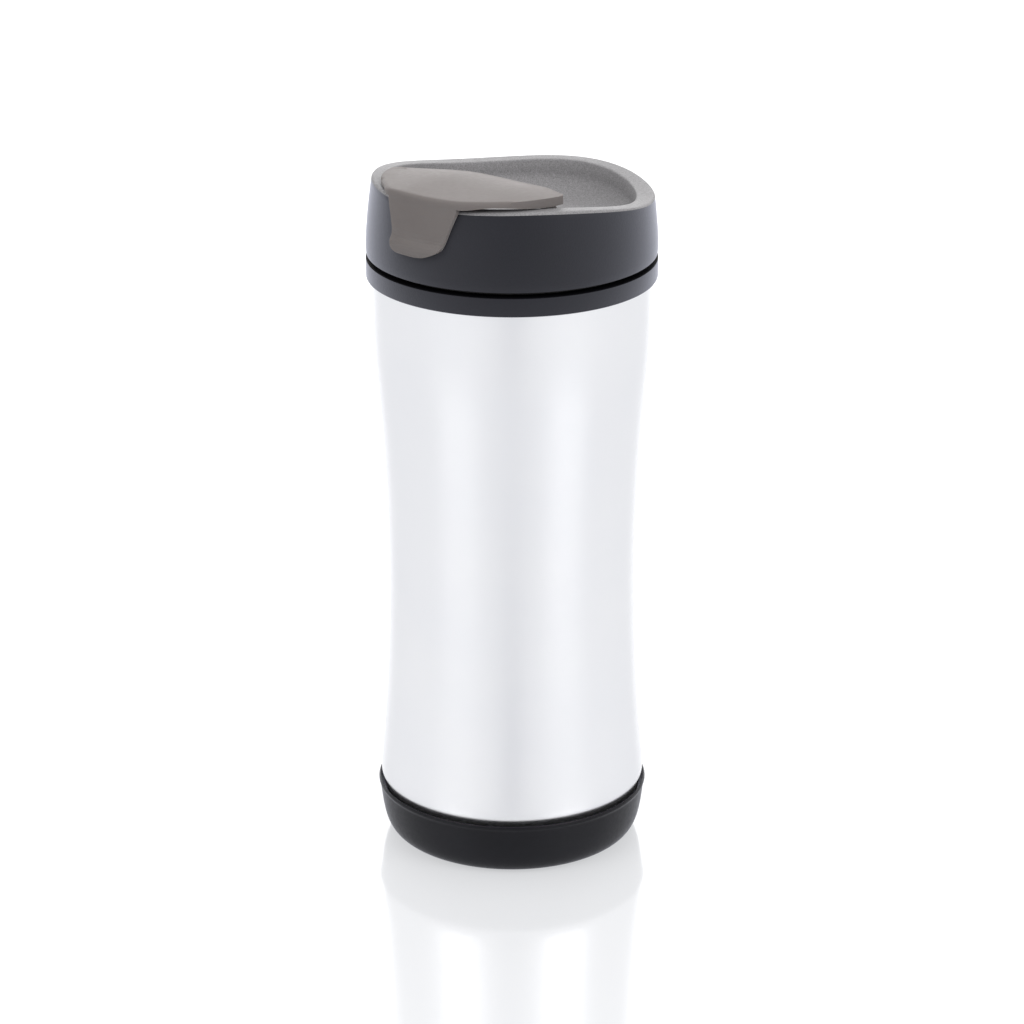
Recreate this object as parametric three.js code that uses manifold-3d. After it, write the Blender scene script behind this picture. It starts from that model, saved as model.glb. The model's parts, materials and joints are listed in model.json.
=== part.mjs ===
// Insulated travel mug: a waisted steel shell round a plastic liner, a screw lid
// and a flip cap over the drinking hole. Millimetres, +Z up. The foot pad's
// underside is at z = 0, the mug's axis is the Z axis, and the drinking side
// faces -Y. Angles about the axis are measured from -Y towards +X.

import * as THREE from 'three';
import { mergeVertices } from 'three/addons/utils/BufferGeometryUtils.js';
import Module from 'manifold-3d';

const wasm = await Module();
wasm.setup();

// ---- driving dimensions -------------------------------------------------

const GAP = 0.3;                 // clearance between pieces that touch
const ROUND_SIDES = 48;          // facets round a large diameter
const SMALL_SIDES = 16;          // facets round a pin or a small hole

const WAIST_R = 34.63;           // outer radius at the waist
const WAIST_Z = 78.9;
const WAIST_CURVE_R = 585;       // radius of the long vertical curve
const SHOULDER_Z = 138.6;        // above this the side eases to upright
const SHELL_R = 38.8;            // outer radius under the collar ring
const SHELL_Z = 17.1;            // lowest steel that shows above the base cup
const SHELL_FOOT_R = 36.2;       // the steel necks in to enter the base cup
const SHELL_FOOT_Z = 9.5;
const SHELL_TOP_Z = 168.6;
const STEEL_WALL = 0.6;
const SHELL_NECK_Z = 22.0;       // the steel starts to neck in here
const SHELL_NECK_R = 37.35;      // and is this wide just above the base cup

const COLLAR_R = 40.15;
const COLLAR_Z = 166.3;          // lower edge of the ring that shows
const COLLAR_TOP_Z = 171.65;
const COLLAR_SKIRT_Z = 147.2;    // lower end of the threaded skirt
const COLLAR_SKIRT_R = 37.1;
const COLLAR_BORE_R = 35.4;      // root of the internal thread
const COLLAR_SEAL_INNER_R = 35.6;
const COLLAR_SEAL_R = 36.8;

const LINER_WALL = 1.4;
const LINER_BASE_R = 30.4;
const LINER_CORNER = 8.0;
const LINER_WAIST_R = 32.4;
const LINER_TOP_R = 34.3;
const LINER_FLANGE_R = 36.9;
const LINER_FLANGE = 2.2;        // thickness of the flange that the seal sits on
const LINER_Z = 11.5;
const LINER_TOP_Z = 145.6;

const BASE_R = 38.35;
const BASE_TOP_Z = 16.3;
const BASE_WALL = 1.85;
const BASE_Z = 0.4;              // the base cup's underside, above the foot pad's
const BASE_FLAT_R = 31.3;        // edge of the flat underside
const BASE_FLOOR = 2.4;
const SEAT_INNER_R = 33.2;       // the ring inside the base cup that carries its seal
const SEAT_R = 34.4;
const SEAT_Z = 12.0;
const BASE_SEAL_INNER_R = 34.65;
const BASE_SEAL_R = 35.35;
const BASE_SEAL_Z = 9.5;
const BASE_SEAL_TOP_Z = 12.2;
const FOOT_R = 28.0;
const FOOT_RECESS = 1.1;         // depth of the recess that the foot pad sits in

const THREAD_LEAD = 8.0;         // rise of the lid for each whole turn
const THREAD_STARTS = 2;
const FEMALE_CREST_R = 34.5;
const MALE_CREST_R = 34.85;
const FEMALE_START_Z = 158.4;
const FEMALE_TURNS = 1;
const MALE_START_Z = 160.4;
const MALE_TURNS = 0.75;
const RIDGE_ROOT_HALF = 0.75;    // half the ridge's height at its root and its crest
const RIDGE_CREST_HALF = 0.42;

const LID_Z = 173.05;            // lower edge of the lid
const LID_R = 40.1;
const LID_TAPER_Z = 175.8;       // the side leans in above this
const RIM_Z = 194.5;             // highest part of the rim
const RIM_INNER_R = 34.0;
const DISH_Z = 180.4;            // lowest point of the dish
const DISH_EDGE_Z = 180.9;
const DISH_FLOOR_R = 24.5;
const DISH_CURVE_R = 8.8;
const LID_WALL = 2.0;
const LID_SKIRT_Z = 169.0;       // lower end of the skirt inside the plug
const LID_SKIRT_WALL = 1.6;
const LID_HOLLOW_INNER_R = 34.9; // the hollow inside the lid's wall
const LID_HOLLOW_R = 36.4;
const LID_HOLLOW_LOW_R = 37.6;
const LID_HOLLOW_TOP_Z = 188.6;
const LID_HOLLOW_Z = 178.4;
const LID_STEP_R = 38.4;         // the step that presses on the gasket
const LID_STEP_INNER_R = 35.2;
const LID_STEP_Z = 174.5;
const GASKET_INNER_R = 35.5;
const GASKET_R = 38.0;
const GASKET_TOP_Z = 174.2;

const PLUG_R = 33.7;
const PLUG_WALL = 1.6;
const PLUG_Z = 155.0;
const PLUG_TOP_Z = 177.4;
const PLUG_VENT_Y = 20.0;

const HINGE_Y = -16.5;           // axis of the flip cap, parallel to X
const HINGE_Z = 192.2;
const PIN_R = 1.0;
const PIN_END_X = 33.2;
const LUG_LOW_X = 24.4;          // the cap's hinge lugs, from here to LUG_HIGH_X
const LUG_HIGH_X = 27.1;
const LUG_R = 2.6;

const SPOUT_Y = -27.0;           // centre of the oval drinking hole
const SPOUT_HALF_X = 6.5;
const SPOUT_HALF_Y = 3.5;
const SPOUT_TUBE_Z = 158.2;      // lower end of the tube below the hole
const SPOUT_WALL = 1.3;
const PLATFORM_Z = 190.0;        // the raised deck that the hole goes through
const PLATFORM_WIDTH = 40.0;
const PLATFORM_BACK_Y = -18.3;
const VENT_Y = -20.6;
const VENT_R = 1.2;

const CAP_ARC_Y = -10.8;         // centre of the cap's round front outline
const CAP_ARC_R = 29.1;
const CAP_BACK_R = 55.0;         // radius of the long curve of its back edge
const CAP_BACK_Y = -6.8;
const CAP_Z = 195.1;             // underside of the cap plate
const CAP_TOP_Z = 197.3;
const CAP_TIP_Y = -15.0;
const CAP_CORNER_X = 28.75;      // where the front and back edges would meet
const TAB_Z = 180.2;             // lower end of the thumb tab
const TAB_TOP_HALF = 11.5;
const TAB_LOW_HALF = 7.5;
const TAB_CORNER = 3.0;
const STOPPER_Z = 187.5;
const STOPPER_PEG_R = 1.5;
const VENT_PAD_R = 1.4;
const VENT_PEG_R = 0.8;
const PEG_DEPTH = 0.6;           // how far the pegs and lugs reach into the plate

// ---- finishes -----------------------------------------------------------

const finish = (color, roughness, metalness = 0) =>
  new THREE.MeshStandardMaterial({ color, roughness, metalness });

const BRUSHED_STEEL = finish('#c9ccd2', 0.35, 1);
const BLACK_PLASTIC = finish('#2c2e33', 0.5);
const LINER_PLASTIC = finish('#3a3b3f', 0.45);
const CAP_PLASTIC = finish('#8d8680', 0.6);
const BLACK_SILICONE = finish('#1c1c1e', 0.7);
const FOOT_RUBBER = finish('#232325', 0.85);
const PIN_STEEL = finish('#b9bbc0', 0.3, 1);

// ---- solids -------------------------------------------------------------

// A merged, outward-facing solid from any closed three.js geometry.
function solid(geometry) {
  const bare = geometry.index ? geometry.toNonIndexed() : geometry;
  bare.deleteAttribute('normal');
  bare.deleteAttribute('uv');
  const merged = mergeVertices(bare, 1e-4);
  const corners = merged.getAttribute('position').array;
  const index = merged.index.array;
  const triangles = [];
  let volume = 0;
  const a = new THREE.Vector3();
  const b = new THREE.Vector3();
  const c = new THREE.Vector3();
  for (let i = 0; i < index.length; i += 3) {
    const [p, q, r] = [index[i], index[i + 1], index[i + 2]];
    if (p === q || q === r || r === p) continue;
    triangles.push(p, q, r);
    a.fromArray(corners, 3 * p);
    b.fromArray(corners, 3 * q);
    c.fromArray(corners, 3 * r);
    volume += a.dot(b.cross(c));
  }
  if (volume < 0) triangles.reverse();
  return new wasm.Manifold(new wasm.Mesh({
    numProp: 3,
    vertProperties: new Float32Array(corners),
    triVerts: new Uint32Array(triangles),
  }));
}

// A solid of revolution from a closed profile of [radius, height] pairs.
function turned(profile, sides = ROUND_SIDES) {
  const points = profile.map(([r, z]) => new THREE.Vector2(r, z));
  const onAxis = profile[0][0] === 0 && profile.at(-1)[0] === 0;
  if (!onAxis) points.push(points[0].clone());
  return solid(new THREE.LatheGeometry(points, sides).rotateX(Math.PI / 2));
}

// A round bar on the hinge axis, from lowX to highX on one side of the mug.
function sideBar(side, radius, lowX, highX) {
  const bar = new THREE.CylinderGeometry(radius, radius, highX - lowX, SMALL_SIDES);
  bar.rotateZ(Math.PI / 2).translate(side * (lowX + highX) / 2, HINGE_Y, HINGE_Z);
  return solid(bar);
}

// An upright round bar.
function post(radius, x, y, low, high) {
  const bar = new THREE.CylinderGeometry(radius, radius, high - low, SMALL_SIDES);
  return solid(bar.rotateX(Math.PI / 2).translate(x, y, (low + high) / 2));
}

function block(width, depth, x, y, low, high) {
  const box = new THREE.BoxGeometry(width, depth, high - low);
  return solid(box.translate(x, y, (low + high) / 2));
}

// An upright oval with its long axis along X, tapered from top to bottom.
function oval(halfX, halfY, y, low, high, lowScale = 1) {
  const outline = new THREE.Shape().absellipse(0, 0, halfX, halfY, 0, 2 * Math.PI);
  const bar = new THREE.ExtrudeGeometry(outline, {
    depth: high - low, bevelEnabled: false, curveSegments: SMALL_SIDES / 2,
  });
  const place = bar.getAttribute('position');
  for (let i = 0; i < place.count; i += 1) {
    const scale = place.getZ(i) < 1e-6 ? lowScale : 1;
    place.setXYZ(i, place.getX(i) * scale, place.getY(i) * scale + y, place.getZ(i) + low);
  }
  return solid(bar);
}

// A ridge that climbs round the axis: a straight extrusion wound on a helix.
function threadRidge(rootR, crestR, startAngle, startZ, turns) {
  const section = new THREE.Shape([
    new THREE.Vector2(rootR, -RIDGE_ROOT_HALF),
    new THREE.Vector2(crestR, -RIDGE_CREST_HALF),
    new THREE.Vector2(crestR, RIDGE_CREST_HALF),
    new THREE.Vector2(rootR, RIDGE_ROOT_HALF),
  ]);
  const steps = Math.round(turns * ROUND_SIDES / 2);
  const ridge = new THREE.ExtrudeGeometry(section, { depth: 1, steps, bevelEnabled: false });
  const place = ridge.getAttribute('position');
  for (let i = 0; i < place.count; i += 1) {
    const turn = turns * place.getZ(i);
    const angle = startAngle + 2 * Math.PI * turn;
    const r = place.getX(i);
    place.setXYZ(i, r * Math.cos(angle), r * Math.sin(angle),
      startZ + place.getY(i) + THREAD_LEAD * turn);
  }
  return solid(ridge);
}

function threads(rootR, crestR, startZ, turns) {
  const ridges = [];
  for (let start = 0; start < THREAD_STARTS; start += 1) {
    const angle = 2 * Math.PI * start / THREAD_STARTS;
    ridges.push(threadRidge(rootR, crestR, angle, startZ, turns));
  }
  return ridges;
}

const joined = (first, ...others) => others.reduce((whole, piece) => whole.add(piece), first);
const cut = (first, ...others) => others.reduce((whole, piece) => whole.subtract(piece), first);

function bothSides(make) {
  return [make(-1), make(1)];
}

// ---- shared curves ------------------------------------------------------

function shellRadius(z) {
  if (z <= SHOULDER_Z) return WAIST_R + (z - WAIST_Z) ** 2 / (2 * WAIST_CURVE_R);
  const height = COLLAR_Z - SHOULDER_Z;
  const t = Math.min(1, (z - SHOULDER_Z) / height);
  const lowR = WAIST_R + (SHOULDER_Z - WAIST_Z) ** 2 / (2 * WAIST_CURVE_R);
  const lowSlope = height * (SHOULDER_Z - WAIST_Z) / WAIST_CURVE_R;
  const topSlope = 0.3;
  return lowR * (2 * t ** 3 - 3 * t ** 2 + 1) + lowSlope * (t ** 3 - 2 * t ** 2 + t)
    + SHELL_R * (3 * t ** 2 - 2 * t ** 3) + topSlope * (t ** 3 - t ** 2);
}

function lidRadius(z) {
  return LID_R - 0.024 * Math.max(0, z - LID_TAPER_Z) ** 1.48;
}

// The rim is high round the drinking side and dips on both flanks of the back.
function rimHeight(angle) {
  return 191.8 + 2.9 * Math.cos(angle) + 0.3 * Math.cos(2 * angle)
    - 1.15 * Math.cos(3 * angle) + 0.1 * Math.cos(4 * angle);
}

function steps(count, make) {
  return Array.from({ length: count + 1 }, (_, i) => make(i / count));
}

function arc(r, z, radius, from, to, count) {
  return steps(count, (t) => {
    const angle = THREE.MathUtils.degToRad(from + (to - from) * t);
    return [r + radius * Math.cos(angle), z + radius * Math.sin(angle)];
  });
}

// ---- mug body -----------------------------------------------------------

function outerShell() {
  const outside = steps(14, (t) => {
    const z = SHELL_NECK_Z + (SHELL_TOP_Z - SHELL_NECK_Z) * t;
    return [shellRadius(z), z];
  });
  outside.unshift([SHELL_FOOT_R, SHELL_FOOT_Z], [SHELL_FOOT_R, SHELL_Z - 0.9],
    [SHELL_NECK_R, SHELL_Z + 1.2]);
  const inside = outside.map(([r, z]) => [r - STEEL_WALL, z]).reverse();
  return turned([...outside, ...inside]);
}

function innerLiner() {
  const cornerR = LINER_BASE_R - LINER_CORNER;
  const cornerZ = LINER_Z + LINER_CORNER;
  const outside = [
    [0, LINER_Z],
    ...arc(cornerR, cornerZ, LINER_CORNER, -90, 0, 5),
    [LINER_WAIST_R, WAIST_Z],
    [LINER_TOP_R, LINER_TOP_Z - LINER_FLANGE],
    [LINER_FLANGE_R, LINER_TOP_Z - LINER_FLANGE],
    [LINER_FLANGE_R, LINER_TOP_Z],
  ];
  const inside = [
    [LINER_TOP_R - LINER_WALL, LINER_TOP_Z],
    [LINER_WAIST_R - LINER_WALL, WAIST_Z],
    ...arc(cornerR, cornerZ, LINER_CORNER - LINER_WALL, 0, -90, 5),
    [0, LINER_Z + LINER_WALL],
  ];
  return turned([...outside, ...inside]);
}

function collarRing() {
  const edge = 0.35;
  const slotOuter = SHELL_R + GAP;
  const slotInner = SHELL_R - STEEL_WALL - GAP;
  const slotZ = SHELL_TOP_Z + GAP;
  const ring = turned([
    [COLLAR_R - edge, COLLAR_Z], [COLLAR_R, COLLAR_Z + edge],
    [COLLAR_R, COLLAR_TOP_Z - edge], [COLLAR_R - edge, COLLAR_TOP_Z],
    [COLLAR_BORE_R + 0.6, COLLAR_TOP_Z], [COLLAR_BORE_R, COLLAR_TOP_Z - 0.6],
    [COLLAR_BORE_R, COLLAR_SKIRT_Z], [COLLAR_SKIRT_R, COLLAR_SKIRT_Z],
    [COLLAR_SKIRT_R, COLLAR_Z - 4], [slotInner, COLLAR_Z - 1],
    [slotInner, slotZ], [slotOuter, slotZ], [slotOuter, COLLAR_Z],
  ]);
  const ridges = threads(COLLAR_BORE_R + 0.4, FEMALE_CREST_R, FEMALE_START_Z, FEMALE_TURNS);
  return joined(ring, ...ridges);
}

// A flat washer between the liner's flange and the collar's skirt.
function collarSeal() {
  const low = LINER_TOP_Z + GAP;
  const high = COLLAR_SKIRT_Z - GAP;
  return turned([
    [COLLAR_SEAL_INNER_R, low], [COLLAR_SEAL_R, low],
    [COLLAR_SEAL_R, high], [COLLAR_SEAL_INNER_R, high],
  ]);
}

function baseCup() {
  const lip = 0.3;
  const innerR = BASE_R - BASE_WALL;
  const floorZ = BASE_Z + BASE_FLOOR;
  const innerLow = SHELL_FOOT_Z - GAP;
  const side = [[BASE_FLAT_R, BASE_Z], [32.9, 0.65], [34.4, 1.55], [35.6, 3.1],
    [36.5, 5.4], [37.2, 8.7], [37.7, 12.4], [38.0, 14.7]];
  return turned([
    [0, BASE_Z + FOOT_RECESS], [FOOT_R + GAP, BASE_Z + FOOT_RECESS], [FOOT_R + GAP, BASE_Z],
    ...side, [BASE_R, BASE_TOP_Z - 3 * lip], [BASE_R - lip, BASE_TOP_Z],
    [BASE_R - 2 * lip, BASE_TOP_Z], [innerR, BASE_TOP_Z - 2.4],
    [innerR, innerLow], [SEAT_R, innerLow], [SEAT_R, SEAT_Z],
    [SEAT_INNER_R, SEAT_Z], [SEAT_INNER_R, 6.5], [BASE_FLAT_R, floorZ], [0, floorZ],
  ]);
}

function baseSeal() {
  return turned([
    [BASE_SEAL_INNER_R, BASE_SEAL_Z], [BASE_SEAL_R, BASE_SEAL_Z],
    [BASE_SEAL_R, BASE_SEAL_TOP_Z], [BASE_SEAL_INNER_R, BASE_SEAL_TOP_Z],
  ]);
}

function footPad() {
  const edge = 0.3;
  const top = BASE_Z + FOOT_RECESS - GAP;
  return turned([[0, 0], [FOOT_R - edge, 0], [FOOT_R, edge], [FOOT_R, top], [0, top]]);
}

// ---- lid ----------------------------------------------------------------

function lidGasket() {
  return turned([
    [GASKET_INNER_R, COLLAR_TOP_Z + GAP], [GASKET_R, COLLAR_TOP_Z + GAP],
    [GASKET_R, GASKET_TOP_Z], [GASKET_INNER_R, GASKET_TOP_Z],
  ]);
}

// The turned lid, with its top bent so that the rim follows rimHeight.
function lidForm() {
  const edge = 0.8;
  const wallTopR = lidRadius(RIM_Z);
  const outside = steps(7, (t) => {
    const z = LID_Z + 1 + (RIM_Z - edge - LID_Z - 1) * t;
    return [lidRadius(z), z];
  });
  const dishCentreZ = DISH_EDGE_Z + DISH_CURVE_R;
  const skirtR = PLUG_R - PLUG_WALL - GAP;
  const skirtInnerR = skirtR - LID_SKIRT_WALL;
  const plugBore = PLUG_R + 0.45;
  const profile = [
    [LID_R - 0.2, LID_Z], ...outside, [wallTopR - edge, RIM_Z],
    [RIM_INNER_R + 0.4, RIM_Z], [RIM_INNER_R, RIM_Z - 0.5],
    ...arc(DISH_FLOOR_R, dishCentreZ, DISH_CURVE_R, 0, -90, 6),
    [0, DISH_Z],
    [0, DISH_Z - LID_WALL], [DISH_FLOOR_R, DISH_EDGE_Z - LID_WALL],
    [skirtInnerR, DISH_EDGE_Z - LID_WALL + 0.6], [skirtInnerR, LID_SKIRT_Z],
    [skirtR, LID_SKIRT_Z], [skirtR, DISH_EDGE_Z - GAP],
    [LID_HOLLOW_INNER_R, LID_HOLLOW_TOP_Z], [LID_HOLLOW_R, LID_HOLLOW_TOP_Z],
    [LID_HOLLOW_LOW_R, LID_HOLLOW_Z], [plugBore, LID_HOLLOW_Z - 1.2],
    [plugBore, LID_Z + GAP], [LID_STEP_INNER_R, LID_Z + GAP],
    [LID_STEP_INNER_R, LID_STEP_Z], [LID_STEP_R, LID_STEP_Z], [LID_STEP_R, LID_Z],
  ];
  const points = [...profile, profile[0]].map(([r, z]) => new THREE.Vector2(r, z));
  const form = new THREE.LatheGeometry(points, ROUND_SIDES).rotateX(Math.PI / 2);
  const place = form.getAttribute('position');
  for (let i = 0; i < place.count; i += 1) {
    const [x, y, z] = [place.getX(i), place.getY(i), place.getZ(i)];
    if (z <= DISH_EDGE_Z) continue;
    const angle = Math.atan2(x, -y);
    const share = (rimHeight(angle) - DISH_EDGE_Z) / (RIM_Z - DISH_EDGE_Z);
    const bentZ = DISH_EDGE_Z + (z - DISH_EDGE_Z) * share;
    const r = Math.hypot(x, y);
    const outer = r > RIM_INNER_R + 1 ? lidRadius(bentZ) - lidRadius(z) : 0;
    place.setXYZ(i, x * (r + outer) / r, y * (r + outer) / r, bentZ);
  }
  return solid(form);
}

function lidShell() {
  const frontY = -RIM_INNER_R - 0.5;
  const deckY = (PLATFORM_BACK_Y + frontY) / 2;
  const deckDepth = PLATFORM_BACK_Y - frontY;
  const bowl = turned([
    [0, DISH_Z - 2], [RIM_INNER_R + 0.6, DISH_Z - 2],
    [RIM_INNER_R + 0.6, RIM_Z], [0, RIM_Z],
  ]);
  const deck = block(PLATFORM_WIDTH, deckDepth, 0, deckY, DISH_Z - 1, PLATFORM_Z);
  const spoutTube = oval(SPOUT_HALF_X + SPOUT_WALL, SPOUT_HALF_Y + SPOUT_WALL, SPOUT_Y,
    SPOUT_TUBE_Z, DISH_Z + 1);
  const spoutHole = oval(SPOUT_HALF_X, SPOUT_HALF_Y, SPOUT_Y, 150, PLATFORM_Z + 1);
  const ventHole = post(VENT_R, 0, VENT_Y, 170, PLATFORM_Z + 1);
  const pinHoles = bothSides((side) => sideBar(side, PIN_R + GAP, 27, PIN_END_X + GAP));
  const whole = joined(lidForm(), deck.intersect(bowl), spoutTube);
  return cut(whole, spoutHole, ventHole, ...pinHoles);
}

function lidPlug() {
  const innerR = PLUG_R - PLUG_WALL;
  const cup = turned([
    [0, PLUG_Z], [PLUG_R - 1.2, PLUG_Z], [PLUG_R, PLUG_Z + 1.2], [PLUG_R, PLUG_TOP_Z],
    [innerR, PLUG_TOP_Z], [innerR, PLUG_Z + PLUG_WALL], [0, PLUG_Z + PLUG_WALL],
  ]);
  const drinkSlot = oval(SPOUT_HALF_X - 1, SPOUT_HALF_Y - 1, SPOUT_Y, PLUG_Z - 2, PLUG_Z + 4);
  const ventHole = post(VENT_R, 0, PLUG_VENT_Y, PLUG_Z - 2, PLUG_Z + 4);
  const ridges = threads(PLUG_R - 0.4, MALE_CREST_R, MALE_START_Z, MALE_TURNS);
  return cut(joined(cup, ...ridges), drinkSlot, ventHole);
}

// A silicone sleeve round the foot of the spout tube, standing on the plug's floor.
function spoutSeal() {
  const low = PLUG_Z + PLUG_WALL + GAP;
  const outer = oval(SPOUT_HALF_X + 1.2, SPOUT_HALF_Y + 1.2, SPOUT_Y, low,
    SPOUT_TUBE_Z - GAP);
  return cut(outer, oval(SPOUT_HALF_X - 0.3, SPOUT_HALF_Y - 0.3, SPOUT_Y, 150, 165));
}

// ---- flip cap -----------------------------------------------------------

// The cap's outline: a round front, a long shallow curve behind and rounded tips.
function capOutline() {
  const backCentreY = CAP_BACK_Y - CAP_BACK_R;
  const outline = new THREE.Shape();
  outline.absarc(0, CAP_ARC_Y, CAP_ARC_R, Math.PI + 0.26, 2 * Math.PI - 0.26, false);
  outline.quadraticCurveTo(CAP_CORNER_X, CAP_TIP_Y, 26.2, -13.45);
  outline.absarc(0, backCentreY, CAP_BACK_R, Math.PI / 2 - 0.47, Math.PI / 2 + 0.47, false);
  outline.quadraticCurveTo(-CAP_CORNER_X, CAP_TIP_Y, -28.13, -18.28);
  return outline;
}

function capPlate() {
  const edge = 0.7;
  const plate = new THREE.ExtrudeGeometry(capOutline(), {
    depth: CAP_TOP_Z - CAP_Z - 2 * edge, curveSegments: 16,
    bevelEnabled: true, bevelSize: edge, bevelOffset: -edge,
    bevelThickness: edge, bevelSegments: 2,
  });
  return solid(plate.translate(0, 0, CAP_Z + edge));
}

// The thumb tab hangs over the rim and down the lid's side, and flares at its end.
function capTab() {
  const inside = steps(5, (t) => {
    const z = TAB_Z + (CAP_Z - TAB_Z) * t;
    return [lidRadius(z) + GAP + 0.05, z];
  });
  const blade = turned([
    ...inside, [36.5, CAP_Z], [36.5, CAP_TOP_Z - 0.5], [38.6, CAP_TOP_Z - 0.3],
    [39.9, CAP_TOP_Z - 1.3], [40.5, CAP_TOP_Z - 3.2], [40.9, 188], [41.1, 184.5],
    [41.9, TAB_Z + 0.6], [41.5, TAB_Z],
  ]);
  const outline = new THREE.Shape();
  outline.moveTo(-TAB_TOP_HALF, CAP_TOP_Z + 1);
  outline.lineTo(-TAB_LOW_HALF - 0.5, TAB_Z + TAB_CORNER);
  outline.quadraticCurveTo(-TAB_LOW_HALF, TAB_Z, -TAB_LOW_HALF + TAB_CORNER, TAB_Z);
  outline.lineTo(TAB_LOW_HALF - TAB_CORNER, TAB_Z);
  outline.quadraticCurveTo(TAB_LOW_HALF, TAB_Z, TAB_LOW_HALF + 0.5, TAB_Z + TAB_CORNER);
  outline.lineTo(TAB_TOP_HALF, CAP_TOP_Z + 1);
  const mask = new THREE.ExtrudeGeometry(outline, {
    depth: 12, bevelEnabled: false, curveSegments: 5,
  });
  return blade.intersect(solid(mask.rotateX(Math.PI / 2).translate(0, -33, 0)));
}

function flipCap() {
  const lugs = bothSides((side) => {
    const middleX = side * (LUG_LOW_X + LUG_HIGH_X) / 2;
    const eye = sideBar(side, LUG_R, LUG_LOW_X, LUG_HIGH_X);
    const web = block(LUG_HIGH_X - LUG_LOW_X, 2 * LUG_R, middleX, HINGE_Y,
      HINGE_Z, CAP_Z + PEG_DEPTH);
    return joined(eye, web);
  });
  const spoutPeg = post(STOPPER_PEG_R, 0, SPOUT_Y, PLATFORM_Z + 0.6, CAP_Z + PEG_DEPTH);
  const ventPeg = post(VENT_PEG_R, 0, VENT_Y, PLATFORM_Z + 2.4, CAP_Z + PEG_DEPTH);
  const pinHoles = bothSides((side) => sideBar(side, PIN_R + GAP, 23, 29));
  return cut(joined(capPlate(), capTab(), ...lugs, spoutPeg, ventPeg), ...pinHoles);
}

function spoutStopper() {
  const top = CAP_Z - GAP;
  const flange = oval(SPOUT_HALF_X + 1, SPOUT_HALF_Y + 1, SPOUT_Y, PLATFORM_Z + GAP, top);
  const plug = oval(SPOUT_HALF_X - 0.4, SPOUT_HALF_Y - 0.4, SPOUT_Y, STOPPER_Z,
    PLATFORM_Z + 0.6, 0.78);
  const pegHole = post(STOPPER_PEG_R + GAP, 0, SPOUT_Y, PLATFORM_Z + GAP + 0.01, CAP_TOP_Z);
  return cut(joined(flange, plug), pegHole);
}

function ventSeal() {
  const pad = post(VENT_PAD_R, 0, VENT_Y, PLATFORM_Z + GAP, CAP_Z - GAP);
  return cut(pad, post(VENT_PEG_R + GAP, 0, VENT_Y, PLATFORM_Z + 2.1, CAP_TOP_Z));
}

function hingePin(side) {
  return sideBar(side, PIN_R, LUG_LOW_X + 0.2, PIN_END_X);
}

// ---- the assembly -------------------------------------------------------

function mesh(name, manifold, material) {
  const { vertProperties, triVerts } = manifold.getMesh();
  const geometry = new THREE.BufferGeometry();
  geometry.setAttribute('position', new THREE.BufferAttribute(vertProperties, 3));
  geometry.setIndex(new THREE.BufferAttribute(triVerts, 1));
  geometry.computeVertexNormals();
  const piece = new THREE.Mesh(geometry, material);
  piece.name = name;
  return piece;
}

const mug = new THREE.Group().add(
  mesh('outer_shell', outerShell(), BRUSHED_STEEL),
  mesh('inner_liner', innerLiner(), LINER_PLASTIC),
  mesh('collar_ring', collarRing(), BLACK_PLASTIC),
  mesh('collar_seal', collarSeal(), BLACK_SILICONE),
  mesh('base_cup', baseCup(), BLACK_PLASTIC),
  mesh('base_seal', baseSeal(), BLACK_SILICONE),
  mesh('foot_pad', footPad(), FOOT_RUBBER),
);

const lid = new THREE.Group().add(
  mesh('lid_gasket', lidGasket(), BLACK_SILICONE),
  mesh('lid_shell', lidShell(), BLACK_PLASTIC),
  mesh('lid_plug', lidPlug(), BLACK_PLASTIC),
  mesh('spout_seal', spoutSeal(), BLACK_SILICONE),
);

const cap = new THREE.Group().add(
  mesh('flip_cap', flipCap(), CAP_PLASTIC),
  mesh('spout_stopper', spoutStopper(), BLACK_SILICONE),
  mesh('vent_seal', ventSeal(), BLACK_SILICONE),
  mesh('hinge_pin_left', hingePin(-1), PIN_STEEL),
  mesh('hinge_pin_right', hingePin(1), PIN_STEEL),
);

export default new THREE.Group().add(mug, lid, cap);
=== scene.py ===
"""An insulated travel mug: waisted satin steel, a black screw lid and a grey flip cap."""

import json
import math

import bmesh
import bpy
from mathutils import Matrix, Vector

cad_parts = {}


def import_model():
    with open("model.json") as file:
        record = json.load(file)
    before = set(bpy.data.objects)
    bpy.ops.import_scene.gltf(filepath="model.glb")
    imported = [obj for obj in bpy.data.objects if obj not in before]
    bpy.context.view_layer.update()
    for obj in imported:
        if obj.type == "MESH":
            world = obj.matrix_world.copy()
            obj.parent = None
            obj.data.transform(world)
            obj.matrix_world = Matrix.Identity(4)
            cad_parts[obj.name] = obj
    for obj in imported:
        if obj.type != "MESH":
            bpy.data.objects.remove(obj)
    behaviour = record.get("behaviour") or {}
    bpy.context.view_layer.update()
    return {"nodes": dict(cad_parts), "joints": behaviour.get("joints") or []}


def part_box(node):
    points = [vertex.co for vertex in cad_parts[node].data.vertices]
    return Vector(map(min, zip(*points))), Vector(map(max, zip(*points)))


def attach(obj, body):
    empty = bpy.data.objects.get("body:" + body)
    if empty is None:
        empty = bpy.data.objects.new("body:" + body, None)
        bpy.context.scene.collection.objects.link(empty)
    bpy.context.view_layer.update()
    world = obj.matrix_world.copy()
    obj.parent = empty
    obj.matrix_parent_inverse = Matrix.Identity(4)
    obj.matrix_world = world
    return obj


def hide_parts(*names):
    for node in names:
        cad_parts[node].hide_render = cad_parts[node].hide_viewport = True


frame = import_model()

MM = 0.001
FULL_TURN = 2 * math.pi
SIDES = 192                    # steps round the mug's large diameters


# ---- places taken from the frame, in millimetres ---------------------------


def reach(node):
    """The lowest and highest corners of a CAD node, in millimetres."""
    low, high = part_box(node)
    return low / MM, high / MM


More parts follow.
